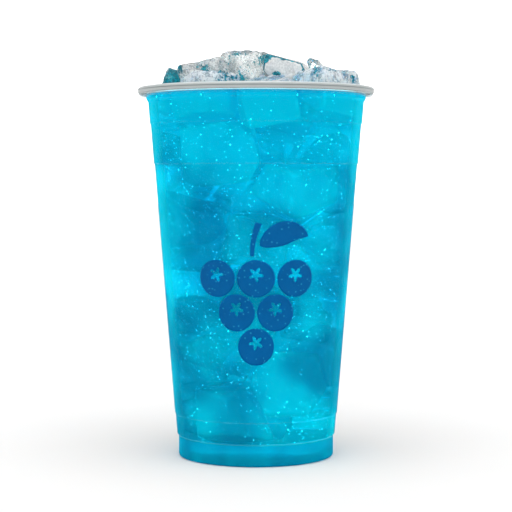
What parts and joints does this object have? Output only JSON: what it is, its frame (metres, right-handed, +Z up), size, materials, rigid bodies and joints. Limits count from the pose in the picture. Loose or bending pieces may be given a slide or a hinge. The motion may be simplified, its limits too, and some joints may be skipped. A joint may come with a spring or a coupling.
{
  "type": "berry lemonade in a plastic cup",
  "caption": "Tall clear plastic cold cup, tapered, with a rolled rim, filled to the lip with blue berry lemonade and heaped with melting ice.",
  "frame": {"origin": "centre of the foot of the cup, on the surface that it stands on", "axes": "+Z up along the axis of the cup; the front of the cup faces -Y"},
  "size_m": [0.098, 0.098, 0.1685],
  "materials": {
    "clear_plastic": "clear, glossy, thin-walled",
    "blue_drink": "clear blue liquid with fine glitter in it",
    "clear_ice": "wet, melting, clear with cloudy cores"
  },
  "bodies": {
    "root": {"cup": "clear_plastic", "drink": "blue_drink", "ice_floating_01": "clear_ice", "ice_floating_02": "clear_ice", "ice_floating_03": "clear_ice", "ice_floating_04": "clear_ice", "ice_floating_05": "clear_ice", "ice_floating_06": "clear_ice", "ice_floating_07": "clear_ice", "ice_floating_08": "clear_ice", "ice_floating_09": "clear_ice", "ice_floating_10": "clear_ice", "ice_floating_11": "clear_ice", "ice_peak": "clear_ice", "ice_slab": "clear_ice", "ice_left": "clear_ice", "ice_rear_left": "clear_ice", "ice_rear_right": "clear_ice", "ice_corner": "clear_ice", "ice_knob": "clear_ice"}
  },
  "joints": []
}
